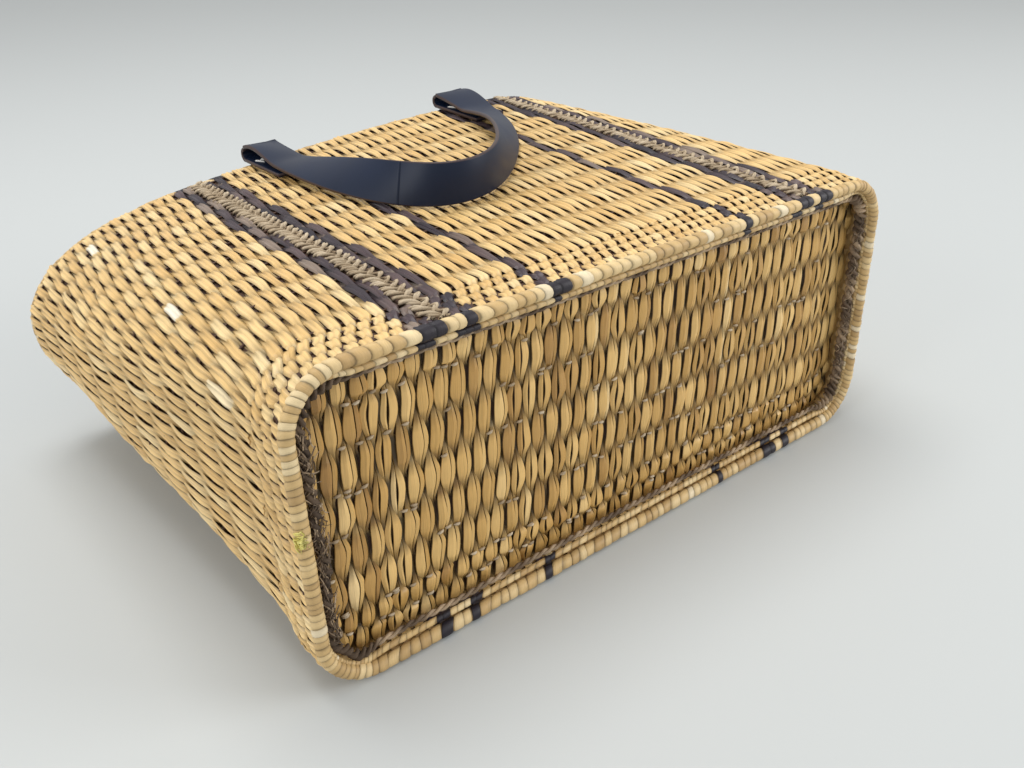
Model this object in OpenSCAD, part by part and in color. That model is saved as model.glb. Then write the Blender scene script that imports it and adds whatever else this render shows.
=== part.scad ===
// Straw tote bag lying on one broad face: woven wall, woven base, wrapped rims and two strap handles.
// The base faces -Y, the mouth +Y and the lower broad face lies on the plane z = 0.

/* [Bag] */
// Width of the base along its long side
base_w = 400; // [340:2:460]
// Depth of the base between the two broad faces
base_d = 168; // [140:2:200]
// Height from the foot rim to the mouth
bag_h = 300; // [260:5:350]
// Width of the open mouth
mouth_w = 464; // [400:2:520]
// Depth of the open mouth at its ends
mouth_d = 150; // [120:2:165]
// Backward lean of the base over its depth, with the upper broad face the shorter one
base_lean = 9; // [0:0.5:14]
// Corner radius of the base
base_corner = 32; // [24:1:44]
// Length of the rounding at the slumped end of the mouth
left_round = 94; // [70:2:150]
// Length of the rounding at the other end of the mouth
right_round = 114; // [70:2:150]
// Length of the rounding along the lower face at the mouth
lower_round = 104; // [70:2:150]
// Outward swell of the narrow sides at half height
side_swell = 1; // [0:0.5:12]
// Arch of the upper face at the mouth
arch = 14; // [0:0.5:20]
// Distance of the arch from the middle
arch_shift = 59; // [0:1:80]
// Fall of the upper face at the slumped end of the mouth
slump = 11; // [0:0.5:20]
// Height of the lower face off the ground at the mouth
mouth_lift = 6; // [5:0.5:9]

/* [Weave] */
// Strand columns round the wall, in steps of four
strand_columns = 132; // [120:4:168]
// Strand relief from valley to crest
relief = 2.2; // [1.4:0.1:2.8]
// Wall thickness from crest to inner face
wall_t = 5; // [4:0.1:7]
// Tight rows of weave above the foot rim
tight_rows = 3; // [2:1:4]
// Height of one tight row
tight_pitch = 8; // [6:0.5:10]
// Open rows of weave above the tight ones
open_rows = 11; // [9:1:13]
// Distance of the middle line of the stripes from the middle of the bag
stripe_shift = 6.5; // [0:0.5:20]
// Distance of a wide stripe from the middle line
wide_stripe = 130; // [110:1:150]
// Distance of a thin stripe from the middle line
thin_stripe = 68; // [50:1:85]
// Radius of a twisted cord in a wide stripe
cord_r = 2.5; // [1.8:0.1:2.9]

/* [Rims and base] */
// Radius of the wrapped foot rim
foot_r = 4; // [3.5:0.1:6]
// Wraps round the foot rim
foot_wraps = 46; // [40:1:80]
// Radius of the wrapped mouth rim
mouth_r = 3; // [2.5:0.1:3.6]
// Wraps round the mouth rim
mouth_wraps = 40; // [36:1:80]
// Share of the rim radius kept in a groove between wraps
groove = 0.8; // [0.7:0.01:0.95]
// Depth of the base panel behind the foot plane
base_recess = 14; // [12:0.5:20]
// Thickness of the base panel
base_t = 6; // [4:0.5:9]
// Strand columns across the base panel
base_columns = 40; // [30:2:60]
// Rows of weave across the base panel
base_rows = 10; // [8:2:12]
// Radius of the lacing cord round the base panel
lace_r = 2.3; // [1.6:0.1:2.6]

/* [Handles] */
// Strap width
strap_w = 24; // [18:1:30]
// Strap thickness
strap_t = 2.6; // [2:0.1:3.2]
// Distance between the two ends of a handle
handle_span = 152; // [130:2:190]
// Distance of the upper handle's middle from the middle of the bag
handle_shift = 7; // [0:1:24]
// Reach of a handle loop from its fold
handle_reach = 176; // [150:2:210]
// Sideways lean of the upper loop
handle_lean = -32; // [-50:1:50]
// Length of a sewn strap end on the wall
tab_l = 50; // [40:1:64]
// Radius of the fold where the upper strap turns back
fold_r = 3.4; // [3.2:0.1:8]
// Length of one slanting stitch
stitch_l = 9; // [6:0.5:12]
// Thread radius of a stitch
stitch_r = 0.6; // [0.4:0.05:0.8]

/* [Hidden] */
// clearance between sewn or laced pieces that sit on each other
seat_gap = 0.2;
// clearance of the base panel and its lacing inside the tapering wall
base_gap = 1.3;
// clearance of a strap end over the woven wall
tab_gap = 0.8;
// clearance of a lying loop over the woven wall
loop_gap = 0.7;
// clearance of the lower loop over the ground
ground_gap = 0.3;
// clearance between a folding strap and its sewn end
fold_gap = 0.45;
// bead of the strap on its folding line
knuckle_r = strap_t / 2 + 0.4;
// height of the foot rim with its flattened underside
foot_h = 2 * foot_r * sin(60);
// columns in one half of the wall, from the middle of the upper face to the middle of the lower
half_columns = strand_columns / 2;
// width of one strand column on the upper face
column_w = (base_w + base_d) / half_columns;
// first column of a wide stripe and the column of a thin one
wide_column = round(wide_stripe / column_w - 1.5);
thin_column = round(thin_stripe / column_w);
// heights of the wall's rows of weave
wall_top = bag_h - 2 * mouth_r;
tight_top = foot_h + tight_rows * tight_pitch;
open_pitch = (wall_top - tight_top) / open_rows;
row_heights = [
  for (j = [0 : tight_rows]) foot_h + j * tight_pitch,
  for (j = [1 : open_rows]) tight_top + j * open_pitch
];
// share of the height up to which the wall keeps the corners of the base
straight_share = 0.07;
// heights of the rings of the wall's plain inner face, from the mouth down
inner_heights = [wall_top, 0.42 * bag_h, 0.16 * bag_h, straight_share * bag_h, foot_h];
// folding line of the lower handle and its distance past the mouth
lower_fold_y = bag_h + 5;
lower_fold_z = mouth_lift - tab_gap - strap_t / 2;
// middle of the whole part along Y, from the leaning foot plane to the lower loop past the mouth
foot_low_y = base_lean * foot_r / 2 / base_d;
middle_y = (lower_fold_y + handle_reach + strap_t / 2 + foot_low_y) / 2;

straw = [0.86, 0.71, 0.46];
straw_base = [0.74, 0.58, 0.35];
dark_straw = [0.24, 0.19, 0.22];
twine = [0.64, 0.57, 0.44];
brown_twine = [0.36, 0.28, 0.2];
navy = [0.1, 0.12, 0.16];
white_thread = [0.93, 0.92, 0.9];

// the frame's origin is the middle of the part, on the ground
module placed() {
  translate([0, -middle_y, 0]) children();
}

// Outline of the bag at a share k of its height

function mix(a, b, k) = a + (b - a) * k;
function clamp01(v) = min(1, max(0, v));
function half_width(k) = base_w / 2 + (mouth_w - base_w) / 2 * pow(k, 1.2) + side_swell * sin(180 * k);
function depth(k) = base_d - (base_d - mouth_d) * pow(k, 1.5);
function lift(k) = mouth_lift * clamp01((k - 0.7) / 0.14);
// growth of the corners from the base to the mouth, which is quick along the lower face
function corner_share(k) = clamp01((k - straight_share) / (1 - straight_share));
function upper_share(k) = pow(corner_share(k), 1.1);
function lower_share(k) = pow(corner_share(k), 0.4);
function upper_r(k) = mix(base_corner, 0.46 * (mouth_d - mouth_lift), upper_share(k));
function lower_r(k) = mix(base_corner, 0.52 * (mouth_d - mouth_lift), lower_share(k));
function left_reach(k) = mix(base_corner, left_round, upper_share(k));
function right_reach(k) = mix(base_corner, right_round, upper_share(k));
function lower_reach(k) = mix(base_corner, lower_round, lower_share(k));
// rise of the upper face over its ends
function rise(x, k) =
  arch * pow(k, 1.5) * max(0, 1 - pow((x - arch_shift) / (0.95 * half_width(k)), 2))
  + slump * k * x / half_width(k);
// backward lean of the base, which fades out at the mouth
function leaned(p) = [p[0], p[1] + base_lean * p[2] / base_d * (1 - p[1] / bag_h), p[2]];
// height of the upper face between its rounded ends
function upper_z(x, y) = depth(y / bag_h) + rise(x, y / bag_h);

// points on a quarter ellipse between two angles
function quarter(cx, cz, rx, rz, from, to) = [
  for (i = [0 : 12]) let (t = mix(from, to, i / 12)) [cx + rx * cos(t), cz + rz * sin(t)]
];
// one half of the outline, from the middle of the upper face to the middle of the lower face
function half_outline(k, side) =
  let (
    a = half_width(k),
    d = depth(k),
    reach = side > 0 ? right_reach(k) : left_reach(k),
    flat = concat(
      [for (i = [0 : 5]) [mix(side * stripe_shift, a - reach, i / 6), d]],
      quarter(a - reach, d - upper_r(k), reach, upper_r(k), 90, 0),
      quarter(a - lower_reach(k), lift(k) + lower_r(k), lower_reach(k), lower_r(k), 0, -90),
      [[side * stripe_shift, lift(k)]]
    )
  )
  [for (p = flat) [side * p[0], p[1] + rise(side * p[0], k) * clamp01(2 * p[1] / d - 1)]];
// running length along a list of points
function lengths(pts) = [
  for (i = 0, s = 0; i < len(pts); i = i + 1, s = s + (i < len(pts) ? norm(pts[i] - pts[i - 1]) : 0)) s
];
// points at even spacing along one half
function half_points(k, side, n) =
  let (
    pts = half_outline(k, side),
    s = lengths(pts),
    total = s[len(s) - 1],
    xs = [for (i = [0 : len(pts) - 1]) [s[i], pts[i][0]]],
    zs = [for (i = [0 : len(pts) - 1]) [s[i], pts[i][1]]]
  )
  [for (i = [0 : n]) [lookup(total * i / n, xs), lookup(total * i / n, zs)]];
// closed ring of 2n points, moved inward by a distance for each point
function ring(k, n, inset) =
  let (
    right = half_points(k, 1, n),
    left = half_points(k, -1, n),
    all = concat(right, [for (i = [n - 1 : -1 : 1]) left[i]]),
    m = 2 * n
  )
  [
    for (i = [0 : m - 1])
      let (t = all[(i + 1) % m] - all[(i + m - 1) % m], out = [-t[1], t[0]] / norm(t))
        [all[i], out, all[i] - out * inset[i]]
  ];

// Meshes from rings of points

// triangles of a grid of rings that is closed both ways, cut along the valleys of a plain weave
function closed_faces(rings, cols) = [
  for (j = [0 : rings - 1], i = [0 : cols - 1])
    let (
      a = j * cols + i,
      b = j * cols + (i + 1) % cols,
      c = (j + 1) % rings * cols + (i + 1) % cols,
      d = (j + 1) % rings * cols + i
    )
    each (i + j) % 2 == 0 ? [[a, b, d], [b, c, d]] : [[a, b, c], [a, c, d]]
];
// triangles of a tube of rings with both ends capped
function tube_faces(rings, cols) = concat(
  [
    for (j = [0 : rings - 2], i = [0 : cols - 1])
      let (a = j * cols + i, b = j * cols + (i + 1) % cols)
        each [[a, b, b + cols], [a, b + cols, a + cols]]
  ],
  [[for (i = [cols - 1 : -1 : 0]) i]],
  [[for (i = [0 : cols - 1]) (rings - 1) * cols + i]]
);
module tube(rings) {
  polyhedron(points = [for (r = rings) each r], faces = tube_faces(len(rings), len(rings[0])));
}

// Woven wall

// stripe columns counted from the middle of the upper or lower face
function is_cord(c) = c == wide_column + 1 || c == wide_column + 2;
function is_dark(c) = c == thin_column || c == wide_column || c == wide_column + 3;
// distance of a column from the middle of the face it lies on
function face_column(i) =
  let (c = min(i, strand_columns - i)) min(c, half_columns - c);
dark_list = [for (i = [0 : strand_columns - 1]) if (is_dark(face_column(i))) i];
cord_list = [for (i = [0 : strand_columns - 1]) if (is_cord(face_column(i))) i];
function is_stripe(i) = is_dark(face_column(i)) || is_cord(face_column(i));
function row_ring(y, inset) = [
  for (p = ring(y / bag_h, half_columns, inset)) leaned([p[2][0], y, p[2][1]])
];

module side_wall() {
  columns = [0 : strand_columns - 1];
  rows = len(row_heights);
  outer = [
    for (j = [0 : rows - 1])
      row_ring(row_heights[j], [for (i = columns) is_stripe(i) || (i + j) % 2 == 1 ? relief : 0])
  ];
  inner = [for (y = inner_heights) row_ring(y, [for (i = columns) wall_t])];
  rings = concat(outer, inner);
  color(straw) placed()
    polyhedron(
      points = [for (r = rings) each r],
      faces = [for (f = closed_faces(len(rings), strand_columns)) [f[2], f[1], f[0]]]
    );
}

// one stripe column: middle, outward and sideways directions at every row
plain_inset = [for (i = [0 : strand_columns - 1]) 0];
row_frames = [for (y = row_heights) ring(y / bag_h, half_columns, plain_inset)];
// a point beside and out from a stripe column, pressed flat where it meets the ground
function on_wall(i, j, side, out) =
  let (p = row_frames[j][i], z = p[0][1] - p[1][0] * side + p[1][1] * out)
    leaned([p[0][0] + p[1][1] * side + p[1][0] * out, row_heights[j], max(0, z)]);

module dark_strands() {
  low = -relief + seat_gap;
  edge = 0.4 * column_w;
  color(dark_straw) placed()
    for (i = dark_list)
      tube([
        for (j = [0 : len(row_heights) - 1])
          let (top = (i + j) % 2 == 0 ? 0.3 : 0)
            [on_wall(i, j, 0, low), on_wall(i, j, edge, -relief / 2 + seat_gap),
              on_wall(i, j, 0, top), on_wall(i, j, -edge, -relief / 2 + seat_gap)]
      ]);
}

module stripe_cords() {
  middle = cord_r - relief + seat_gap;
  color(twine) placed()
    for (i = cord_list)
      tube([
        for (j = [0 : len(row_heights) - 1])
          [
            for (q = [0 : 3])
              let (t = -90 * q + 45 * j)
                on_wall(i, j, cord_r * sin(t), middle + cord_r * cos(t))
          ]
      ]);
}

// Wrapped rims

// section of a rim: six corners, the two under ones on the flat foot plane where it has one
function rim_corner(r, q, scale, flat) =
  let (t = -120 + 60 * q, low = q < 2 && flat)
    [scale * r * cos(t), (low ? 1 : scale) * r * sin(t)];
module wrapped_rim(k, y, r, wraps, flat) {
  n = wraps;
  path = ring(k, n, [for (i = [0 : 2 * n - 1]) r]);
  color(straw_base) placed()
    polyhedron(
      points = [
        for (i = [0 : 2 * n - 1], q = [0 : 5])
          let (c = rim_corner(r, q, i % 2 == 0 ? 1 : groove, flat), p = path[i])
            leaned([p[2][0] + p[1][0] * c[0], y + c[1], p[2][1] + p[1][1] * c[0]])
      ],
      faces = closed_faces(2 * n, 6)
    );
}
module foot_rim() {
  wrapped_rim(0, foot_h / 2, foot_r, foot_wraps, true);
}
module mouth_rim() {
  wrapped_rim(1, bag_h - mouth_r, mouth_r, mouth_wraps, false);
}

// Woven base panel

module base_panel() {
  half = base_w / 2 - wall_t - base_gap;
  r = base_corner - wall_t;
  lo = wall_t + base_gap;
  hi = base_d - lo;
  function drop(x) = let (over = max(0, abs(x) - half + r)) r - sqrt(max(0, r * r - over * over));
  function across(j) = (1 - cos(180 * j / base_rows)) / 2;
  // the end columns stop short of the full width, where the rounded corner has its last strand
  function column_x(i) = (half - 2) * (2 * i / base_columns - 1);
  function inner_edge(i, j) = i == 0 || j == 0 || i == base_columns || j == base_rows;
  function at(i, j, y) =
    let (x = column_x(i), d = drop(x)) leaned([x, y, mix(lo + d, hi - d, across(j))]);
  cols = base_columns + 1;
  face = [
    for (j = [0 : base_rows], i = [0 : base_columns])
      at(i, j, base_recess + (inner_edge(i, j) ? relief / 2 : (i + j) % 2 == 0 ? 0 : relief))
  ];
  edge = concat(
    [for (i = [0 : base_columns]) [i, 0]],
    [for (j = [1 : base_rows]) [base_columns, j]],
    [for (i = [base_columns - 1 : -1 : 0]) [i, base_rows]],
    [for (j = [base_rows - 1 : -1 : 1]) [0, j]]
  );
  back = [for (e = edge) at(e[0], e[1], base_recess + base_t)];
  n = len(edge);
  first = len(face);
  function on_face(e) = e[1] * cols + e[0];
  grid = [
    for (j = [0 : base_rows - 1], i = [0 : base_columns - 1])
      let (a = j * cols + i, b = a + 1, c = b + cols, d = a + cols)
        each (i + j) % 2 == 0 ? [[a, d, b], [b, d, c]] : [[a, c, b], [a, d, c]]
  ];
  sides = [
    for (e = [0 : n - 1])
      let (a = on_face(edge[e]), b = on_face(edge[(e + 1) % n]), c = first + (e + 1) % n, d = first + e)
        each [[a, b, c], [a, c, d]]
  ];
  // plain back face: a strip between the two long edges and a fan at each short end
  function on_back(i, j) =
    first + (j == 0 ? i : i == base_columns ? i + j : i == 0 ? n - j : 2 * base_columns + base_rows - i);
  last = base_columns;
  strip = [
    for (i = [1 : last - 2])
      each [[on_back(i, 0), on_back(i + 1, 0), on_back(i + 1, base_rows)],
        [on_back(i, 0), on_back(i + 1, base_rows), on_back(i, base_rows)]]
  ];
  fans = [
    for (j = [0 : base_rows - 1])
      each [[on_back(1, 0), on_back(0, j + 1), on_back(0, j)],
        [on_back(last - 1, 0), on_back(last, j), on_back(last, j + 1)]]
  ];
  ends = [[on_back(1, 0), on_back(1, base_rows), on_back(0, base_rows)],
    [on_back(last - 1, 0), on_back(last, base_rows), on_back(last - 1, base_rows)]];
  color(straw_base) placed()
    polyhedron(
      points = concat(face, back),
      faces = concat(grid, sides, strip, fans, ends)
    );
}

// twisted cord that laces the base panel to the wall
module base_lacing() {
  turns = 40;
  path = ring(0, turns, [for (i = [0 : 2 * turns - 1]) wall_t + lace_r + base_gap]);
  y = base_recess - lace_r - seat_gap;
  color(brown_twine) placed()
    polyhedron(
      points = [
        for (i = [0 : 2 * turns - 1], q = [0 : 3])
          let (t = 90 * q + 45 * (i % 2), p = path[i])
            leaned(
              [p[2][0] + p[1][0] * lace_r * cos(t), y + lace_r * sin(t), p[2][1] + p[1][1] * lace_r * cos(t)]
            )
      ],
      faces = closed_faces(2 * turns, 4)
    );
}

// Handles

// ends of the upper handle's folding line
upper_fold_y = bag_h + 1 + fold_r;
fold_mid = tab_gap + strap_t / 2 + fold_r;
upper_left = handle_shift - handle_span / 2;
upper_right = handle_shift + handle_span / 2;
function fold_z(x) =
  let (a = upper_z(upper_left, bag_h), b = upper_z(upper_right, bag_h))
    mix(a, b, (x - upper_left) / handle_span) + fold_mid;
fold_slope = (fold_z(upper_right) - fold_z(upper_left)) / handle_span;
fold_angle = atan(fold_slope);

// four corners of a strap section from its middle, width direction and face direction
function strap_section(c, wide, face) = [
  c - wide * strap_w / 2 - face * strap_t / 2,
  c + wide * strap_w / 2 - face * strap_t / 2,
  c + wide * strap_w / 2 + face * strap_t / 2,
  c - wide * strap_w / 2 + face * strap_t / 2
];
function unit(v) = v / norm(v);
// turn of a strap from lying flat at its ends to standing on edge at the top of the loop
function strap_turn(t) = 90 * pow(sin(180 * t), 1.6);
// section of a loop at a share t of its way, with its middle line given on both sides of it
function loop_section(before, c, after, t) =
  let (
    along = unit(after - before),
    out = unit(cross(along, [0, 0, 1])),
    up = cross(out, along),
    turn = strap_turn(t)
  )
  strap_section(c, out * cos(turn) - up * sin(turn), out * sin(turn) + up * cos(turn));

// middle line of the upper loop, which lies back over the upper face
function upper_middle(t) =
  let (
    s = sin(180 * t),
    x = handle_shift - handle_span / 2 * cos(180 * t) + handle_lean * s * s,
    y = upper_fold_y - fold_r - handle_reach * s,
    turn = strap_turn(t),
    lying = loop_gap + strap_w / 2 * sin(turn) + strap_t / 2 * cos(turn),
    ends = fold_mid + fold_r - loop_gap - strap_t / 2
  )
  [x, y, (s < 0.001 ? fold_z(x) - fold_mid : upper_z(x, y)) + lying + ends * pow(1 - s, 2.3)];
// quarter turn from the folding line to the loop at one end
function fold_section(x, t, side) =
  let (
    wide = side * [cos(fold_angle), 0, sin(fold_angle)],
    c = [x, upper_fold_y - fold_r + fold_r * cos(t), fold_z(x) + fold_r * sin(t)],
    face = unit([0, cos(t), sin(t)])
  )
  strap_section(c, wide, face);
loop_steps = 26;
upper_loop = [
  for (i = [1 : loop_steps - 1])
    let (t = i / loop_steps)
      loop_section(upper_middle(t - 0.01), upper_middle(t), upper_middle(t + 0.01), t)
];

// bead on the folding line, along the width of a strap
module knuckle(c, angle) {
  translate(c)
    rotate([0, 90 - angle, 0])
      cylinder(h = strap_w - 1, r = knuckle_r, center = true, $fn = 48);
}

module upper_strap() {
  left = [for (t = [0 : 30 : 90]) fold_section(upper_left, t, -1)];
  right = [for (t = [90 : -30 : 0]) fold_section(upper_right, t, 1)];
  color(navy) placed() {
    tube(concat(left, upper_loop, right));
    knuckle([upper_left, upper_fold_y, fold_z(upper_left)], fold_angle);
    knuckle([upper_right, upper_fold_y, fold_z(upper_right)], fold_angle);
  }
}

// height of a sewn end's middle over the wall, on the straight line under the fold
function tab_z(x, y) =
  let (fold = fold_z(x) - fold_r, slope = upper_z(x, bag_h - tab_l) - upper_z(x, bag_h))
    fold + slope * (bag_h + 1 - y) / tab_l;
module upper_strap_ends() {
  // the sewn end stops where the loop swung upright would meet it
  outer = fold_r + strap_t / 2;
  last = acos((sqrt(outer * outer - fold_r * fold_r) + fold_gap) / outer);
  wide = [cos(fold_angle), 0, sin(fold_angle)];
  color(navy) placed()
    for (x = [upper_left, upper_right])
      tube(concat(
        [
          for (y = [bag_h - tab_l, bag_h - tab_l / 2, bag_h + 1])
            strap_section([x, y, tab_z(x, y)], wide, [0, 0, 1])
        ],
        [
          for (t = [last / 3, 2 * last / 3, last])
            strap_section(
              [x, upper_fold_y - fold_r + fold_r * sin(t), fold_z(x) - fold_r * cos(t)],
              wide, [0, -sin(t), cos(t)]
            )
        ]
      ));
}

// slanting stitches across a sewn end
module stitch_row(c, slope, face) {
  translate(c)
    rotate([slope, 0, 0])
      for (i = [-2 : 2])
        translate([i * strap_w / 6, 0, face * (strap_t / 2 + stitch_r + seat_gap / 2)])
          rotate([90, 0, 25])
            cylinder(h = stitch_l, r = stitch_r, center = true, $fn = 24);
}
stitch_y = bag_h - tab_l * 0.3;
function tab_slope(x) = atan((tab_z(x, bag_h) - tab_z(x, bag_h - tab_l)) / tab_l);
module upper_stitches() {
  color(white_thread) placed()
    for (x = [upper_left, upper_right])
      translate([x, stitch_y, tab_z(x, stitch_y)])
        rotate([0, -fold_angle, 0])
          stitch_row([0, 0, 0], tab_slope(x), 1);
}

// middle line of the lower loop, which lies out on the ground past the mouth
function lower_middle(t) =
  let (
    s = sin(180 * t),
    turn = strap_turn(t),
    lying = ground_gap + strap_w / 2 * sin(turn) + strap_t / 2 * cos(turn),
    ends = lower_fold_z - ground_gap - strap_t / 2
  )
  [handle_span / 2 * -cos(180 * t), lower_fold_y + handle_reach * s, lying + ends * pow(1 - s, 3)];
module lower_strap() {
  ends = [for (x = [-1, 1]) [x * handle_span / 2, lower_fold_y, lower_fold_z]];
  loop = [
    for (i = [1 : loop_steps - 1])
      let (t = i / loop_steps)
        loop_section(lower_middle(t + 0.01), lower_middle(t), lower_middle(t - 0.01), t)
  ];
  first = strap_section(ends[0], [-1, 0, 0], [0, 0, 1]);
  last = strap_section(ends[1], [1, 0, 0], [0, 0, 1]);
  rings = concat([first], loop, [last]);
  color(navy) placed() {
    tube([for (i = [len(rings) - 1 : -1 : 0]) rings[i]]);
    knuckle(ends[0], 0);
    knuckle(ends[1], 0);
  }
}
module lower_strap_ends() {
  color(navy) placed()
    for (x = [-1, 1])
      translate([x * handle_span / 2 - strap_w / 2, bag_h - tab_l, lower_fold_z - strap_t / 2])
        cube([strap_w, tab_l + lower_fold_y - bag_h - knuckle_r - fold_gap, strap_t]);
}
module lower_stitches() {
  color(white_thread) placed()
    for (x = [-1, 1])
      stitch_row([x * handle_span / 2, stitch_y, lower_fold_z], 0, -1);
}

side_wall();
dark_strands();
stripe_cords();
foot_rim();
mouth_rim();
base_panel();
base_lacing();
upper_strap();
upper_strap_ends();
upper_stitches();
lower_strap();
lower_strap_ends();
lower_stitches();
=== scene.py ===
"""Straw tote bag: woven straw, wrapped rims, twisted cords and leather straps over the CAD frame."""
import math

import bpy
import numpy as np
from mathutils import Matrix, Vector


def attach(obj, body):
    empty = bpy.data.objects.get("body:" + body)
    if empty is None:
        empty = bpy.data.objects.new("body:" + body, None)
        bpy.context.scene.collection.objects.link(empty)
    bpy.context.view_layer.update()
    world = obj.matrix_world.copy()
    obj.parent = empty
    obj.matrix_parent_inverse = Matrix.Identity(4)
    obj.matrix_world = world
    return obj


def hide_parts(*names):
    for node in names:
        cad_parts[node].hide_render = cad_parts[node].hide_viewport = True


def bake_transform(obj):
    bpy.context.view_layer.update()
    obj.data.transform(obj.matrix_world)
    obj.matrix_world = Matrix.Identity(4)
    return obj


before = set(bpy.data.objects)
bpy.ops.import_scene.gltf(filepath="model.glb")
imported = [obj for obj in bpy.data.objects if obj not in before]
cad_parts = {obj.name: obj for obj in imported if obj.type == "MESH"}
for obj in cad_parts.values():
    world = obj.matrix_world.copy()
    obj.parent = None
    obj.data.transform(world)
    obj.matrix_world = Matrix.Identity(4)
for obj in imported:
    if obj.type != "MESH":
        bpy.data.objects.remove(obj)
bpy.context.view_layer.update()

rng = np.random.default_rng(41)

# sizes in millimetres, as in the part's source
BASE_W, BASE_D, BAG_H = 400.0, 168.0, 300.0
MOUTH_W, MOUTH_D = 464.0, 150.0
BASE_LEAN = 9.0
BASE_CORNER = 32.0
LEFT_ROUND, RIGHT_ROUND, LOWER_ROUND = 94.0, 114.0, 104.0
SIDE_SWELL = 1.0
ARCH, ARCH_SHIFT, SLUMP = 14.0, 59.0, 11.0
ARCH_REACH = 0.95
MOUTH_LIFT, LIFT_FROM, LIFT_RUN = 6.0, 0.7, 0.14
UPPER_SHARE, LOWER_SHARE = 0.46, 0.52
STRAIGHT_SHARE = 0.07
WALL_T = 5.0
FOOT_R, MOUTH_R = 4.0, 3.0
FOOT_H = 2 * FOOT_R * math.sin(math.radians(60))
TIGHT_ROWS, TIGHT_PITCH, OPEN_ROWS = 3, 8.0, 11
STRIPE_SHIFT, WIDE_STRIPE, THIN_STRIPE = 6.5, 130.0, 68.0
BASE_RECESS, BASE_GAP = 14.0, 1.3
STRAP_W, STRAP_T = 24.0, 2.6
HANDLE_SPAN, HANDLE_SHIFT, HANDLE_REACH, HANDLE_LEAN = 152.0, 7.0, 176.0, -32.0
TAB_L, FOLD_R = 50.0, 3.4
TAB_GAP, LOOP_GAP, GROUND_GAP = 0.8, 0.7, 0.3
LOWER_FOLD_Y = BAG_H + 5
LOWER_FOLD_Z = MOUTH_LIFT - TAB_GAP - STRAP_T / 2
FOOT_LOW_Y = BASE_LEAN * FOOT_R / 2 / BASE_D
MIDDLE_Y = (LOWER_FOLD_Y + HANDLE_REACH + STRAP_T / 2 + FOOT_LOW_Y) / 2

# least height over the ground
SKIN = 0.05

# sizes of the visible weave
STRANDS = 316
STRAND_T, STRAND_STEP = 1.15, 3.42
SWING = 1.15
WEAVE_MID = STRAND_T / 2 + SWING
ROD_R = 0.7
BASE_COLUMNS, BASE_RODS = 84, 9


# outline of the bag, by the same rules as the part's source

def mix(a, b, k):
    """Value at a share of the way from one to the other."""
    return a + (b - a) * k


def half_width(k):
    """Half the bag's width; k is the share of the way from the foot to the mouth."""
    return BASE_W / 2 + (MOUTH_W - BASE_W) / 2 * k**1.2 + SIDE_SWELL * math.sin(math.pi * k)


def depth(k):
    """Distance of the two broad faces, without the arch."""
    return BASE_D - (BASE_D - MOUTH_D) * k**1.5


def lift(k):
    """Height of the lower face over the ground, by the mouth."""
    return MOUTH_LIFT * min(1, max(0, (k - LIFT_FROM) / LIFT_RUN))


def corner_share(k):
    """Share of the change from the foot's corners to the mouth's round ends."""
    return min(1, max(0, (k - STRAIGHT_SHARE) / (1 - STRAIGHT_SHARE)))


def rise(x, k):
    """Arch and slump of the upper face."""
    bow = np.maximum(0, 1 - ((x - ARCH_SHIFT) / (ARCH_REACH * half_width(k))) ** 2)
    return ARCH * k**1.5 * bow + SLUMP * k * x / half_width(k)


def upper_z(x, y):
    """Height of the upper face."""
    return depth(y / BAG_H) + float(rise(np.float64(x), y / BAG_H))


def half_outline(k, side):
    """Points [x, z] from the middle of the upper face to the middle of the lower face."""
    a, d = half_width(k), depth(k)
    up, low = corner_share(k) ** 1.1, corner_share(k) ** 0.4
    inner = MOUTH_D - MOUTH_LIFT
    upper_r = mix(BASE_CORNER, UPPER_SHARE * inner, up)
    lower_r = mix(BASE_CORNER, LOWER_SHARE * inner, low)
    reach = mix(BASE_CORNER, RIGHT_ROUND if side > 0 else LEFT_ROUND, up)
    lower_reach = mix(BASE_CORNER, LOWER_ROUND, low)
    turn = np.radians(np.linspace(90, 0, 25))
    flat_x = np.linspace(side * STRIPE_SHIFT, a - reach, 25)[:-1]
    x = np.concatenate([
        flat_x,
        a - reach + reach * np.cos(turn),
        a - lower_reach + lower_reach * np.cos(turn[::-1]),
        [side * STRIPE_SHIFT],
    ])
    z = np.concatenate([
        np.full(len(flat_x), d),
        d - upper_r + upper_r * np.sin(turn),
        lift(k) + lower_r - lower_r * np.sin(turn[::-1]),
        [lift(k)],
    ])
    share = np.clip(2 * z / d - 1, 0, 1)
    return side * x, z + rise(side * x, k) * share


# points on each half of a ring
DENSE = 500


def ring(y):
    """Closed ring of 2 * DENSE points at a height, with outward directions."""
    k = min(1.0, max(0.0, y / BAG_H))
    halves = []
    for side in (1, -1):
        x, z = half_outline(k, side)
        s = np.concatenate([[0], np.cumsum(np.hypot(np.diff(x), np.diff(z)))])
        at = np.linspace(0, s[-1], DENSE + 1)
        halves.append(np.stack([np.interp(at, s, x), np.interp(at, s, z)], axis=1))
    pts = np.concatenate([halves[0], halves[1][-2:0:-1]])
    t = np.roll(pts, -3, axis=0) - np.roll(pts, 3, axis=0)
    t /= np.linalg.norm(t, axis=1)[:, None]
    return pts, np.stack([-t[:, 1], t[:, 0]], axis=1)


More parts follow.
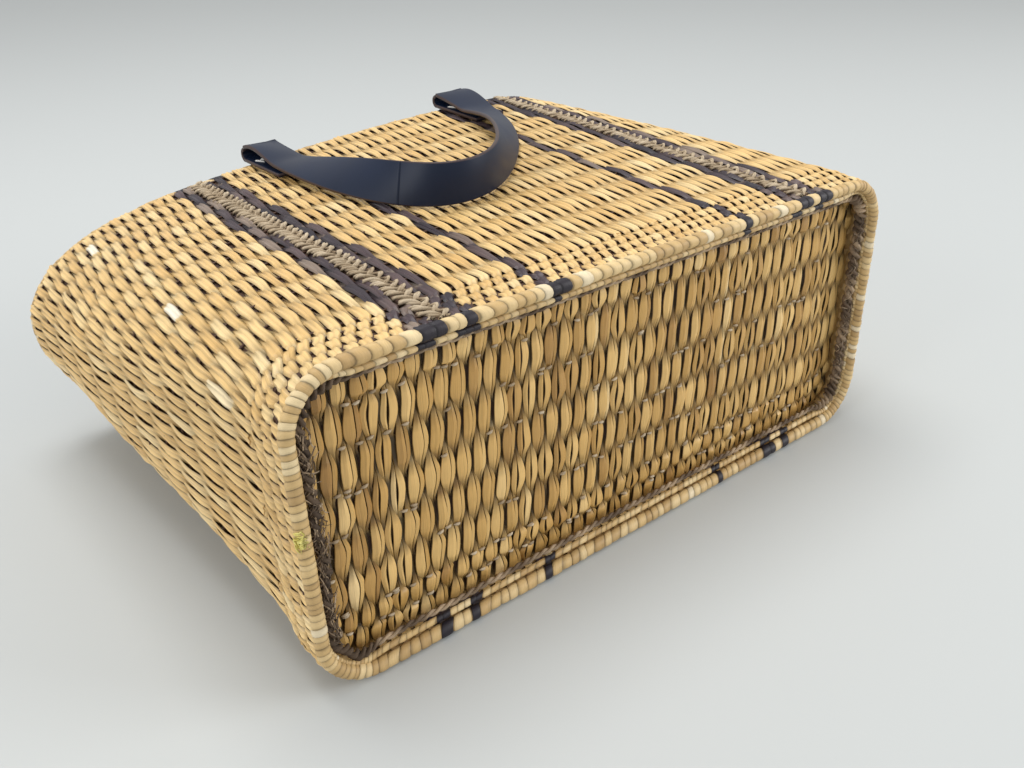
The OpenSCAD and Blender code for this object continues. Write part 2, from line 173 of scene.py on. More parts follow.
def wall_frame(ys, us):
    """Points and outward directions on the wall, for heights and shares of the way round (0 to 2)."""
    at = np.mod(us, 2.0) * DENSE
    base = np.arange(2 * DENSE + 1)
    points, outs = [], []
    for y in ys:
        pts, out = ring(y)
        pts, out = np.vstack([pts, pts[:1]]), np.vstack([out, out[:1]])
        points.append(np.stack([np.interp(at, base, pts[:, c]) for c in (0, 1)], axis=1))
        o = np.stack([np.interp(at, base, out[:, c]) for c in (0, 1)], axis=1)
        outs.append(o / np.linalg.norm(o, axis=1)[:, None])
    return np.array(points), np.array(outs)


def to_frame(x, y, z, lean=True):
    """Millimetres of the outline to metres of the row frame."""
    z = np.maximum(z, SKIN)
    if lean:
        y = y + BASE_LEAN * z / BASE_D * (1 - y / BAG_H)
    return np.stack([x, y - MIDDLE_Y, z], axis=-1) / 1000


def off_wall(p, o, aside, out):
    """x and z of places on the wall that are moved along it and out of it."""
    x = p[..., 0] + o[..., 1] * aside + o[..., 0] * out
    z = p[..., 1] - o[..., 0] * aside + o[..., 1] * out
    return x, z


def circle(count):
    """Angles of points round a tube."""
    return np.linspace(0, 2 * math.pi, count, endpoint=False)


def wavy(at, end, count):
    """Random values from -1 to 1 at even places up to an end, with straight lines between them."""
    return np.interp(at, np.linspace(0, end, count), rng.uniform(-1, 1, count))


# meshes

def grid_object(name, v, attributes, wrap_along=False, wrap_round=True, cap=False, crisp=None):
    """Mesh of tubes: v has the shape (tubes, steps along, points round, 3)."""
    n, s, c = v.shape[:3]
    idx = np.arange(n * s * c).reshape(n, s, c)
    nxt = np.roll(idx, -1, axis=1) if wrap_along else idx[:, 1:]
    cur = idx if wrap_along else idx[:, :-1]
    if wrap_round:
        quads = [cur, np.roll(cur, -1, axis=2), np.roll(nxt, -1, axis=2), nxt]
    else:
        quads = [cur[:, :, :-1], cur[:, :, 1:], nxt[:, :, 1:], nxt[:, :, :-1]]
    faces = np.stack([q.reshape(-1) for q in quads], axis=1)
    mesh = bpy.data.meshes.new(name)
    mesh.vertices.add(n * s * c)
    mesh.vertices.foreach_set("co", v.reshape(-1).astype(np.float32))
    loops = [faces.reshape(-1)]
    sizes = [np.full(len(faces), 4)]
    if cap:
        loops += [idx[:, 0, ::-1].reshape(-1), idx[:, -1, :].reshape(-1)]
        sizes += [np.full(2 * n, c)]
    loops, sizes = np.concatenate(loops), np.concatenate(sizes)
    starts = np.concatenate([[0], np.cumsum(sizes)[:-1]])
    mesh.loops.add(len(loops))
    mesh.loops.foreach_set("vertex_index", loops.astype(np.int32))
    mesh.polygons.add(len(sizes))
    mesh.polygons.foreach_set("loop_start", starts.astype(np.int32))
    mesh.polygons.foreach_set("use_smooth", np.ones(len(sizes), bool))
    for key, value in attributes.items():
        a = mesh.attributes.new(key, "FLOAT", "POINT")
        a.data.foreach_set("value", np.broadcast_to(value, (n, s, c)).reshape(-1).astype(np.float32))
    mesh.update(calc_edges=True)
    mesh.validate()
    if crisp:
        mesh.set_sharp_from_angle(angle=math.radians(crisp))
    obj = bpy.data.objects.new(name, mesh)
    bpy.context.scene.collection.objects.link(obj)
    return obj


def dress(obj, material, body, slot, *nodes):
    """Give a piece its material and body, and hide the nodes that it replaces; slot is not used."""
    obj.data.materials.append(material)
    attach(obj, body)
    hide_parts(*nodes)


# materials

def node(tree, kind, inputs=None, **settings):
    """New shader node with its inputs and settings."""
    n = tree.nodes.new(kind)
    for key, value in settings.items():
        setattr(n, key, value)
    for key, value in (inputs or {}).items():
        n.inputs[key].default_value = value
    return n


def math_node(tree, op, a, b):
    """Output of a sum or product of sockets and plain numbers."""
    n = node(tree, "ShaderNodeMath", operation=op)
    for i, v in enumerate((a, b)):
        if isinstance(v, (int, float)):
            n.inputs[i].default_value = v
        else:
            tree.links.new(v, n.inputs[i])
    return n.outputs[0]


def multiply(tree, colour, factor_low, factor_high, mask):
    """Colour times a grey between two levels that follows a mask."""
    grey = node(tree, "ShaderNodeMapRange", {"To Min": factor_low, "To Max": factor_high})
    tree.links.new(mask, grey.inputs["Value"])
    m = node(tree, "ShaderNodeMix", {"Factor": 1.0}, data_type="RGBA", blend_type="MULTIPLY")
    tree.links.new(colour, m.inputs[6])
    tree.links.new(grey.outputs[0], m.inputs[7])
    return m.outputs[2]


def fibre_material(name, ramp, rough, lines=7.0, line_depth=0.22, bump=0.35, dip_shade_level=0.5, blotch=0.12):
    """Straw or twine: colour by strand, fine lines along it, and painted shade that darkens it where it
    dips.
    """
    mat = bpy.data.materials.new(name)
    mat.use_nodes = True
    t = mat.node_tree
    shader = t.nodes["Principled BSDF"]
    tint, along, across, dip_shade = (
        node(t, "ShaderNodeAttribute", attribute_name=key).outputs["Fac"]
        for key in ("tint", "along", "across", "dip_shade")
    )
    colours = node(t, "ShaderNodeValToRGB")
    band = colours.color_ramp
    while len(band.elements) < len(ramp):
        band.elements.new(0.5)
    for e, (place, colour) in zip(band.elements, ramp):
        e.position = place
        e.color = (*colour, 1)
    t.links.new(tint, colours.inputs[0])
    # lines that are stretched along a strand and differ from one strand to the next
    where = node(t, "ShaderNodeCombineXYZ")
    own = math_node(t, "MULTIPLY", tint, 91.0)
    shifted = math_node(t, "ADD", math_node(t, "MULTIPLY", across, lines), own)
    t.links.new(shifted, where.inputs[0])
    t.links.new(math_node(t, "MULTIPLY", along, 0.06), where.inputs[1])
    t.links.new(math_node(t, "MULTIPLY", tint, 37.0), where.inputs[2])
    grain = node(t, "ShaderNodeTexNoise", {"Scale": 1.0, "Detail": 3.0, "Roughness": 0.6})
    t.links.new(where.outputs[0], grain.inputs["Vector"])
    place = node(t, "ShaderNodeTexCoord")
    patch = node(t, "ShaderNodeTexNoise", {"Scale": 38.0, "Detail": 2.0})
    t.links.new(place.outputs["Object"], patch.inputs["Vector"])
    c = multiply(t, colours.outputs[0], 1 - line_depth, 1 + line_depth, grain.outputs["Fac"])
    c = multiply(t, c, 1 - blotch, 1 + blotch, patch.outputs["Fac"])
    # painted shade: darker where a strand dips under others, in grooves and between wraps
    c = multiply(t, c, 1.0, dip_shade_level, dip_shade)
    t.links.new(c, shader.inputs["Base Color"])
    r = node(t, "ShaderNodeMapRange", {"To Min": rough - 0.1, "To Max": rough + 0.14})
    t.links.new(grain.outputs["Fac"], r.inputs["Value"])
    t.links.new(r.outputs[0], shader.inputs["Roughness"])
    shader.inputs["Specular IOR Level"].default_value = 0.42
    b = node(t, "ShaderNodeBump", {"Strength": bump, "Distance": 0.0004})
    t.links.new(grain.outputs["Fac"], b.inputs["Height"])
    t.links.new(b.outputs[0], shader.inputs["Normal"])
    return mat


STRAW = fibre_material("wall_straw", [
    (0.0, (0.46, 0.26, 0.08)),
    (0.3, (0.68, 0.43, 0.155)),
    (0.65, (0.79, 0.54, 0.226)),
    (0.95, (0.85, 0.66, 0.352)),
    (1.0, (0.93, 0.88, 0.76)),
], 0.4, dip_shade_level=0.45)
DARK = fibre_material("dark_straw", [
    (0.0, (0.018, 0.014, 0.022)),
    (0.45, (0.05, 0.031, 0.038)),
    (0.75, (0.1, 0.064, 0.064)),
    (1.0, (0.29, 0.22, 0.165)),
], 0.4, line_depth=0.5)
TWINE = fibre_material("grey_twine", [
    (0.0, (0.22, 0.15, 0.088)),
    (0.5, (0.38, 0.29, 0.185)),
    (1.0, (0.6, 0.5, 0.36)),
], 0.75, lines=4.0, line_depth=0.35, bump=0.6, dip_shade_level=0.45)
RIM = fibre_material("rim_straw", [
    (0.0, (0.012, 0.009, 0.014)),
    (0.12, (0.02, 0.015, 0.022)),
    (0.2, (0.4, 0.25, 0.1)),
    (0.6, (0.62, 0.43, 0.19)),
    (0.85, (0.74, 0.57, 0.31)),
    (1.0, (0.8, 0.76, 0.64)),
], 0.5, dip_shade_level=0.35)
BASE = fibre_material("base_straw", [
    (0.0, (0.3, 0.15, 0.04)),
    (0.4, (0.54, 0.32, 0.095)),
    (0.8, (0.73, 0.48, 0.18)),
    (1.0, (0.86, 0.67, 0.37)),
], 0.36, line_depth=0.28, dip_shade_level=0.12)
LACING = fibre_material("brown_twine", [
    (0.0, (0.05, 0.032, 0.02)),
    (0.6, (0.14, 0.095, 0.06)),
    (1.0, (0.42, 0.31, 0.2)),
], 0.85, lines=4.0, line_depth=0.5, bump=0.8)
ROD = fibre_material("rod_wood", [
    (0.0, (0.045, 0.021, 0.012)),
    (1.0, (0.1, 0.048, 0.026)),
], 0.6)
YELLOW = fibre_material("yellow_fibre", [
    (0.0, (0.56, 0.47, 0.1)),
    (1.0, (0.78, 0.7, 0.24)),
], 0.8)


def leather_material(name):
    """Smooth navy-black leather with a raw brown cut edge."""
    mat = bpy.data.materials.new(name)
    mat.use_nodes = True
    t = mat.node_tree
    shader = t.nodes["Principled BSDF"]
    place = node(t, "ShaderNodeTexCoord")
    pores = node(t, "ShaderNodeTexNoise", {"Scale": 900.0, "Detail": 2.0})
    patch = node(t, "ShaderNodeTexNoise", {"Scale": 30.0, "Detail": 3.0})
    for n in (pores, patch):
        t.links.new(place.outputs["Object"], n.inputs["Vector"])
    skin = node(t, "ShaderNodeMix", data_type="RGBA")
    skin.inputs[6].default_value = (0.003, 0.0075, 0.022, 1)
    skin.inputs[7].default_value = (0.007, 0.015, 0.04, 1)
    t.links.new(patch.outputs["Fac"], skin.inputs["Factor"])
    edge = node(t, "ShaderNodeAttribute", attribute_name="edge").outputs["Fac"]
    cut = node(t, "ShaderNodeMix", data_type="RGBA")
    cut.inputs[7].default_value = (0.09, 0.05, 0.03, 1)
    t.links.new(skin.outputs[2], cut.inputs[6])
    t.links.new(math_node(t, "MULTIPLY", edge, 0.55), cut.inputs["Factor"])
    t.links.new(cut.outputs[2], shader.inputs["Base Color"])
    shader.inputs["Specular IOR Level"].default_value = 0.26
    r = node(t, "ShaderNodeMapRange", {"To Min": 0.34, "To Max": 0.5})
    t.links.new(patch.outputs["Fac"], r.inputs["Value"])
    t.links.new(r.outputs[0], shader.inputs["Roughness"])
    b = node(t, "ShaderNodeBump", {"Strength": 0.12, "Distance": 0.0002})
    t.links.new(pores.outputs["Fac"], b.inputs["Height"])
    t.links.new(b.outputs[0], shader.inputs["Normal"])
    return mat


LEATHER = leather_material("strap")
THREAD = fibre_material("thread", [
    (0.0, (0.78, 0.77, 0.73)),
    (1.0, (0.9, 0.89, 0.86)),
], 0.6, dip_shade_level=0.8)


# woven wall

TIGHT_END = FOOT_H + TIGHT_ROWS * TIGHT_PITCH
OPEN_PITCH = (BAG_H - 2 * MOUTH_R - TIGHT_END) / OPEN_ROWS
ROD_Y = np.concatenate([
    FOOT_H + TIGHT_PITCH * np.arange(TIGHT_ROWS + 1),
    TIGHT_END + OPEN_PITCH * np.arange(1, OPEN_ROWS + 1),
])
# two strands side by side, with the groove between them, which gets painted shade
TWIN = np.array([(-1, -0.4), (-0.55, 0.85), (0.06, 0.1), (0.58, 1), (1, -0.4), (0, -0.9)])
TWIN_GROOVE_SHADE = np.array([0, 0, 0.42, 0, 0, 0])
# a strand's half width under a rod, and what it gains over one, in the close rows and at random
HALF_UNDER, GAIN_OVER, GAIN_TIGHT, GAIN_RANDOM = 1.86, 0.88, 0.3, 0.36
# how far a grain lies aside, slides along and sits deeper at random, and its sway between two rods
ASIDE, SLIDE, SINK, SWAY = 0.62, 2.7, 0.3, 0.42
ROLL, ROLL_SWAY = np.radians(9), np.radians(10)
# tint of the straw: middle, change from strand to strand and from grain to grain, and limits
TINT_MID, TINT_STRAND, TINT_GRAIN = 0.58, 0.17, 0.17
TINT_MIN, TINT_MAX = 0.02, 0.95
# one folded leaf of the base
FOLDED = np.array([(-1, -0.3), (-0.9, 0.25), (0.15, 1), (0.9, 0.25), (1, -0.3), (0, -0.9)])
PITCH = 2 * (BASE_W + BASE_D) / STRANDS
WIDE_AT, THIN_AT = round(WIDE_STRIPE / PITCH), round(THIN_STRIPE / PITCH)
# columns from the middle of a wide stripe to the edge of its cord, and to its own edge
CORD_COLUMNS, DARK_COLUMNS = 1, 4
HALF_ROUND = STRANDS // 2


def stripe_kind(i):
    """What a strand column is: straw, dark or left out for a cord."""
    c = min(i, STRANDS - i)
    c = min(c, HALF_ROUND - c)
    if abs(c - WIDE_AT) <= CORD_COLUMNS:
        return "cord"
    if abs(c - WIDE_AT) <= DARK_COLUMNS or c in (THIN_AT, THIN_AT + 1):
        return "dark"
    return "straw"


KINDS = [stripe_kind(i) for i in range(STRANDS)]


def weave_rows():
    """Steps along a strand, counted in rods: fewer from rod to rod in the close rows."""
    last = len(ROD_Y) - 1
    rows = [np.linspace(j, j + 1, 6 if j < TIGHT_ROWS else 8, endpoint=False) for j in range(last)]
    return np.concatenate([[-0.5, -0.25], *rows, [last, last + 0.08]])


ROWS = weave_rows()
ROW_Y = np.interp(ROWS, np.arange(len(ROD_Y)), ROD_Y)
ROW_Y[:2] = FOOT_H - np.array([4.0, 2.0])
ROW_Y[-1] = BAG_H - MOUTH_R
WALL_U = np.arange(STRANDS) / HALF_ROUND
WALL_P, WALL_O = wall_frame(ROW_Y, WALL_U)
# the rod that each step is nearest to, and random values for each grain over or under a rod
ROW_ID = np.clip(np.round(ROWS).astype(int), 0, len(ROD_Y) - 1)
GRAIN = {key: rng.uniform(-1, 1, (STRANDS, len(ROD_Y))) for key in
         ("tint", "roll", "wide", "side", "out", "slide")}
STRAND_TINT = rng.uniform(-1, 1, STRANDS)
# bleached grains at the left of the wall: strand, rod and tint
BLEACHED = np.zeros((STRANDS, len(ROD_Y)))
for strand, rod, pale in ((257, 13, 0.985), (257, 7, 0.985), (252, 4, 0.96)):
    BLEACHED[strand, rod] = pale


def strand_object(name, columns, thick=1.0, spread=1.0):
    """Strands that go over one rod and under the next, each grooved into two straws."""
    columns = np.array(columns)
    phase = math.pi * (ROWS[None, :] + columns[:, None])
    # 1 over a rod and -1 under it; hold is 1 at every rod and 0 between two
    peak, slant = np.cos(phase), np.sin(phase)
    hold = np.cos(math.pi * ROWS) ** 2
    tight = ROWS < TIGHT_ROWS
    g = {key: value[columns][:, ROW_ID] for key, value in GRAIN.items()}
    apart = np.linalg.norm(np.diff(WALL_P, axis=1, append=WALL_P[:, :1]), axis=2)
    local = apart.T[columns] / STRAND_STEP
    over = np.clip((peak + 0.3) / 1.3, 0, 1)
    gain = GAIN_OVER * over**0.8 + GAIN_RANDOM * g["wide"] * hold + GAIN_TIGHT * tight
    half_w = (HALF_UNDER + gain) * local
    half_t = STRAND_T / 2 * thick * (1 + 0.15 * g["wide"] * hold)
    out = -WEAVE_MID + SWING * peak + SINK * (g["out"] - 1) * hold
    side = ASIDE * g["side"] * hold + SWAY * slant
    roll = ROLL * g["roll"] * hold + ROLL_SWAY * slant
    a, b = TWIN[:, 0], TWIN[:, 1]
    da = half_w[..., None] * a
    db = half_t[..., None] * b
    cr, sr = np.cos(roll)[..., None], np.sin(roll)[..., None]
    s_off = side[..., None] + da * cr - db * sr
    o_off = out[..., None] + da * sr + db * cr
    p = WALL_P.transpose(1, 0, 2)[columns][:, :, None, :]
    o = WALL_O.transpose(1, 0, 2)[columns][:, :, None, :]
    slide = SLIDE * g["slide"] * hold * np.where(tight, 0.3, 1.0)
    y = np.broadcast_to((ROW_Y[None, :] + slide)[..., None], s_off.shape)
    x, z = off_wall(p, o, s_off, o_off)
    own = TINT_STRAND * STRAND_TINT[columns][:, None]
    tint = np.clip(TINT_MID + own + TINT_GRAIN * spread * g["tint"], TINT_MIN, TINT_MAX)
    tint = np.maximum(BLEACHED[columns][:, ROW_ID], tint)
    return grid_object(name, to_frame(x, y, z), {
        "tint": tint[..., None],
        "along": np.broadcast_to(ROW_Y[None, :, None], s_off.shape),
        "across": np.broadcast_to(a, s_off.shape),
        # painted shade: darker where the strand goes under a rod and along its groove
        "dip_shade": np.clip(0.5 - 0.7 * peak[..., None] * np.sign(b) + TWIN_GROOVE_SHADE, 0, 1),
    }, crisp=24)


def build_wall():
    """Straw strands in four quarters, and the dark strands of the stripes."""
    straw = [i for i in range(STRANDS) if KINDS[i] == "straw"]
    quarter = STRANDS / 4
    names = ("upper_right", "lower_right", "lower_left", "upper_left")
    for number, name in enumerate(names):
        columns = [i for i in straw if number * quarter <= i < (number + 1) * quarter]
        dress(strand_object(f"wall_{name}", columns), STRAW, "bag", "wall_straw", "side_wall")
    dark = [i for i in range(STRANDS) if KINDS[i] == "dark"]
    woven = strand_object("dark_strands_woven", dark, 1.25, 2.4)
    dress(woven, DARK, "bag", "dark_straw", "dark_strands")


def closed_tube(name, ys, us, inset, radius, sides, tint):
    """Rods: plain tubes round the bag at several heights."""
    p, o = wall_frame(ys, us)
    t = circle(sides)
    x, z = off_wall(p[..., None, :], o[..., None, :], 0, -inset + radius * np.cos(t))
    y = np.asarray(ys)[:, None, None] + radius * np.sin(t) + 0 * x
    return grid_object(name, to_frame(x, y, z), {
        "tint": tint, "along": us[None, :, None] * 500, "across": np.sin(t), "dip_shade": 0.0,
    }, wrap_along=True)


def build_rods():
    """Rods of the wall, and two sheets back to back in the weave: dark without as painted shade in the
    gaps, pale within.
    """
    us = np.linspace(0, 2, 240, endpoint=False)
    rods = closed_tube("wall_rods", ROD_Y, us, WEAVE_MID + 0.1, ROD_R, 6, 0.5)
    dress(rods, ROD, "bag", "wall_straw", "side_wall")
    ys = np.linspace(ROW_Y[0], BAG_H - MOUTH_R, 40)
    p, o = wall_frame(ys, us)
    # above the base panel the sheets lie deeper in the weave
    deep = 0.95 * np.clip((ys - BASE_RECESS) / 8, 0, 1)[:, None]
    # painted shade: the dark sheet in the rods' colour fills the weave's gaps with shade, and both
    # sheets are half darkened by the dip shade
    for name, material, tint, inset in (
        ("wall_middle", ROD, 1.0, WEAVE_MID + deep),
        ("wall_middle_inside", STRAW, 0.4, WEAVE_MID + 0.1 + deep),
    ):
        x, z = off_wall(p, o, 0, -inset)
        v = to_frame(x, ys[:, None] + 0 * x, z)
        sheet = grid_object(name, np.concatenate([v, v[:, :1]], axis=1)[None], {
            "tint": tint, "along": 0.0, "across": 0.0, "dip_shade": 0.5,
        }, wrap_round=False)
        dress(sheet, material, "bag", "wall_straw", "side_wall")


def build_cords():
    """A plait of three grass cords of two plies in each wide stripe."""
    plait_wide, plait_length, ply_length = 5.1, 21.0, 9.0
    ys = np.linspace(FOOT_H - 1, BAG_H - MOUTH_R, 260)
    places = [WIDE_AT, HALF_ROUND - WIDE_AT, HALF_ROUND + WIDE_AT, STRANDS - WIDE_AT]
    p, o = wall_frame(ys, np.array(places) / HALF_ROUND)
    step = circle(6)
    tubes, tints = [], []
    for j in range(len(places)):
        drift = wavy(ys, BAG_H, 30)
        for strand in range(3):
            knob = wavy(ys, BAG_H, 60)
            turn = 2 * math.pi * (ys / plait_length + strand / 3) + 0.5 * drift
            twist = 2 * math.pi * ys / ply_length + 1.3 * strand
            for ply in (-1, 1):
                cs = plait_wide * np.sin(turn) + 0.5 * drift + ply * 0.8 * np.cos(twist)
                co = -1.2 + 1.0 * np.sin(2 * turn) + ply * 0.55 * np.sin(twist) + 0.2 * knob
                size = 0.95 + 0.18 * knob
                s_off = cs[:, None] + size[:, None] * np.cos(step)
                o_off = co[:, None] + size[:, None] * np.sin(step)
                x, z = off_wall(p[:, j, None], o[:, j, None], s_off, o_off)
                tubes.append(to_frame(x, ys[:, None] + 0 * x, z))
                # painted shade: each ply is darker where it sinks into the plait and lighter where it
                # comes out
                tints.append(0.5 + 0.22 * np.sin(2 * turn) + 0.2 * knob)
    cords = grid_object("stripe_cords_twisted", np.array(tubes), {
        "tint": np.array(tints)[..., None], "along": ys[None, :, None] * 6,
        # painted shade on the side of each ply that faces the wall
        "across": np.sin(step), "dip_shade": np.clip(-np.sin(step), 0, 1),
    })
    dress(cords, TWINE, "bag", "grey_twine", "stripe_cords")


# wrapped rims

# half the width of a wide stripe's cord, of the whole stripe and of a thin stripe, on the rims
CORD_HALF, WIDE_HALF, THIN_HALF = 5.5, 15.0, 3.5
# the short ends of the base: from this far out along it, over this run
END_FROM, END_RUN = 165.0, 20.0
# wrapped rods: name, replaced node, height, radius, wraps, slant, flat below, inset, tuck at the ends
RIMS = (
    ("foot_rim_wrapped", "foot_rim", FOOT_H / 2, FOOT_R, 224, 0.3, True, 0.0, 0.0),
    ("foot_rim_inner_rod", "foot_rim", 5.4, 1.9, 290, 0.3, False, 8.4, 3.4),
    ("mouth_rim_wrapped", "mouth_rim", BAG_H - MOUTH_R, MOUTH_R, 236, 0.35, False, 0.0, 0.0),
)


def rim_tint(us, y):
    """Colour of each wrap: dark where a stripe comes over, worn pale at the left upper corner."""
    corner_x, corner_z = -120, BASE_D - 45
    count = len(us)
    tint = 0.55 + 0.25 * rng.uniform(-1, 1, count)
    worn = rng.uniform(0, 1, count)
    tint[worn > 0.95] = 0.9
    p = wall_frame([y], us)[0][0]
    corner = (p[:, 0] < corner_x) & (p[:, 1] > corner_z) & (worn > 0.6)
    tint[corner & (y < BAG_H / 2)] = 0.86
    for w, u in enumerate(us):
        c = min(u, 2 - u)
        c = min(c, 1 - c) * HALF_ROUND * PITCH
        near = abs(c - WIDE_STRIPE)
        if CORD_HALF < near < WIDE_HALF or abs(c - THIN_STRIPE - 1.5) < THIN_HALF:
            tint[w] = 0.05
        elif near <= CORD_HALF:
            tint[w] = 0.7 + 0.17 * worn[w]
    return tint


def short_ends(x):
    """Share that is 1 along the short ends of the base and 0 along its long edges."""
    return np.clip((np.abs(x) - END_FROM) / END_RUN, 0, 1)


def wrapped_rim(name, y, radius, wraps, slant, flat, inset, tuck):
    """Rod wrapped with flat bands of uneven width; it may sit further out at the short ends."""
    within = np.array([0, 0.07, 0.18, 0.38, 0.62, 0.82, 0.93])
    # the wraps lie closer along the short ends
    fine = np.linspace(0, 2, 801)
    close = np.cumsum(1 + 0.7 * short_ends(wall_frame([y], fine)[0][0, :, 0]))
    edges = np.concatenate([[0], np.cumsum(rng.uniform(0.7, 1.3, wraps))])
    edges = np.interp(edges / edges[-1], (close - close[0]) / (close[-1] - close[0]), fine)
    t = circle(12)
    number = np.repeat(np.arange(wraps), len(within))
    part = np.tile(within, wraps)
    lumps = rng.uniform(-1, 1, wraps)[number]
    lean = slant * (1 + 0.4 * rng.uniform(-1, 1, wraps))[number]
    tint = rim_tint(edges[:-1], y)[number]
    bulge = np.sin(math.pi * part) ** 0.25
    r = radius * (0.74 + 0.14 * bulge + 0.05 * lumps)
    lines = []
    for angle in t:
        wrap = np.mod(number + part - lean * math.sin(angle), wraps)
        p, o = wall_frame([y], np.interp(wrap, np.arange(wraps + 1), edges))
        out = -inset + tuck * short_ends(p[0, :, 0]) - radius + r * math.cos(angle)
        up = r * math.sin(angle)
        if flat:
            up = np.maximum(up, -y)
        x, z = off_wall(p[0], o[0], 0, out)
        lines.append(to_frame(x, y + up, z))
    v = np.stack(lines, axis=1)
    return grid_object(name, v[None], {
        "tint": tint[None, :, None], "along": radius * t * 3 + 17 * number[None, :, None],
        # painted shade in the grooves between the wraps
        "across": (2 * part - 1)[None, :, None], "dip_shade": (1 - bulge)[None, :, None],
    }, wrap_along=True)


def build_rims():
    """Foot rim with the thin rod inside it, and mouth rim."""
    for name, replaced, *sizes in RIMS:
        dress(wrapped_rim(name, *sizes), RIM, "bag", "rim_straw", replaced)


def build_tuft():
    """Tuft of yellow fibres caught on the left end of the foot rim."""
    count, middle, reach = 44, 92.0, 2.2
    t = circle(5)
    s = np.linspace(-1, 1, 5)
    turn = rng.uniform(0, math.pi, count)
    side, high = rng.normal(0, 1.4, count), middle + rng.normal(0, 2.0, count)
    bend = rng.uniform(-1, 1, count)
    along_y = side[:, None] + reach * s * np.cos(turn)[:, None]
    along_z = high[:, None] + reach * s * np.sin(turn)[:, None] + 0.6 * bend[:, None] * s**2
    r = 0.42 * (1.15 - s**2)
    angle = np.radians(48) + along_y[..., None] / FOOT_R + 0 * t
    off_rod = FOOT_R * 0.97 + r[:, None] * np.cos(t) + 0.25 * bend[:, None, None]
    x = -BASE_W / 2 + FOOT_R - off_rod * np.cos(angle)
    y = FOOT_H / 2 - off_rod * np.sin(angle)
    z = along_z[..., None] + r[:, None] * np.sin(t) + 0 * angle
    tuft = grid_object("yellow_tuft", to_frame(x, np.maximum(y, SKIN), z), {
        "tint": rng.uniform(0, 1, count)[:, None, None], "along": 0.0, "across": 0.0, "dip_shade": 0.0,
    }, cap=True)
    dress(tuft, YELLOW, "bag", "rim_straw", "foot_rim")


# base panel

BASE_INSET = WALL_T + BASE_GAP
BASE_HALF = BASE_W / 2 - BASE_INSET - 2
BASE_PITCH = 2 * BASE_HALF / BASE_COLUMNS
# edges of the rows of grains, as shares of the way up; the outer rows are closer
BASE_ROWS = np.concatenate([[0], np.cumsum([1.0, 1.1, 1.9, 1.95, 1.9, 1.95, 1.9, 1.1, 1.0])])
BASE_ROWS = BASE_ROWS / BASE_ROWS[-1]
# broad and narrow leaf of a grain: half width and place, as shares of the grain's half width
BROAD_W, BROAD_AT = 0.6, -0.36
NARROW_W, NARROW_AT = 0.34, 0.7


def base_z(x, share):
    """Height at a share of the way up the panel, between its rounded corners."""
    r = BASE_CORNER - WALL_T
    over = np.maximum(0, np.abs(x) - (BASE_W / 2 - BASE_INSET) + r)
    low = BASE_INSET + r - np.sqrt(np.maximum(0, r * r - over * over))
    return low + (BASE_D - 2 * low) * share


def build_base():
    """Woven panel of folded strands: each grain is a broad leaf and a narrow one."""
    q = np.linspace(-0.5, BASE_RODS - 0.5, BASE_RODS * 8 + 1)
    share = np.interp(q + 0.5, np.arange(BASE_RODS + 1), BASE_ROWS)
    columns = np.repeat(np.arange(BASE_COLUMNS), 2)
    broad = np.tile([True, False], BASE_COLUMNS)[:, None]
    rows = np.clip(np.round(q).astype(int), 0, BASE_RODS - 1)
    g = {key: rng.uniform(-1, 1, (BASE_COLUMNS, BASE_RODS))[columns][:, rows]
         for key in ("tint", "wide", "out", "side", "slide", "lean")}
    own = rng.uniform(-1, 1, len(columns))[:, None]
    hold = np.cos(math.pi * q)[None, :] ** 2
    phase = math.pi * (q[None, :] + columns[:, None])
    peak, slant = np.cos(phase), np.sin(phase)
    aside = (0.6 * g["side"] + 2.3 * g["lean"] * (q - rows)) * hold
    x = -BASE_HALF + (columns[:, None] + 0.5) * BASE_PITCH + aside
    z = base_z(x, share) + 2.9 * g["slide"] * hold
    over = np.clip((peak + 0.5) / 1.5, 0, 1)
    under = np.clip(-0.3 - peak, 0, 1) / 0.7
    whole = BASE_PITCH / 2 * (0.5 + 1.36 * over**0.9 + 1.1 * under + 0.26 * g["wide"] * hold)
    # on most strands the broad leaf lies at the left
    hand = np.repeat(np.where(rng.uniform(0, 1, BASE_COLUMNS) < 0.7, 1, -1), 2)[:, None]
    half_w = whole * np.where(broad, BROAD_W, NARROW_W)
    x = x + hand * whole * np.where(broad, BROAD_AT, NARROW_AT) + 0.45 * slant
    leaf_out = 0.25 * own + np.where(broad, -0.3, 0.7)
    out = 1.2 - 1.3 * peak - 0.35 * g["out"] * hold + leaf_out * hold
    a, b = FOLDED[:, 0], FOLDED[:, 1]
    vx = x[..., None] + half_w[..., None] * a
    tilt = (np.where(broad, -0.5, 0.5) * hand)[..., None] * a * over[..., None]
    vy = BASE_RECESS + 0.8 + out[..., None] - 0.7 * b + tilt
    vz = z[..., None] + 0 * vx
    tint = np.clip(0.52 + 0.24 * g["tint"] + 0.18 * own, 0.02, 0.98)
    panel = grid_object("base_panel_woven", to_frame(vx, vy, vz), {
        "tint": tint[..., None], "along": z[..., None], "across": a,
        # painted shade: darker where a grain goes under a rod
        "dip_shade": np.clip(0.5 - 0.7 * peak[..., None] * np.sign(b), 0, 1),
    }, crisp=26)
    dress(panel, BASE, "bag", "base_straw", "base_panel")


def build_base_middle():
    """Two sheets back to back behind the grains of the base: dark without as painted shade in the gaps,
    pale within.
    """
    xs = np.linspace(-BASE_HALF, BASE_HALF, 60)[:, None]
    zs = base_z(xs, np.linspace(0, 1, 12))
    # painted shade: the dark sheet in the rods' colour shows as shade between the grains
    for name, material, depth_in in (("base_middle", ROD, 3.3), ("base_middle_inside", BASE, 3.4)):
        v = to_frame(xs + 0 * zs, BASE_RECESS + depth_in + 0 * zs, zs)
        sheet = grid_object(name, v[None], {"tint": 0.2, "along": 0.0, "across": 0.0, "dip_shade": 0.3},
                            wrap_round=False)
        dress(sheet, material, "bag", "base_straw", "base_panel")


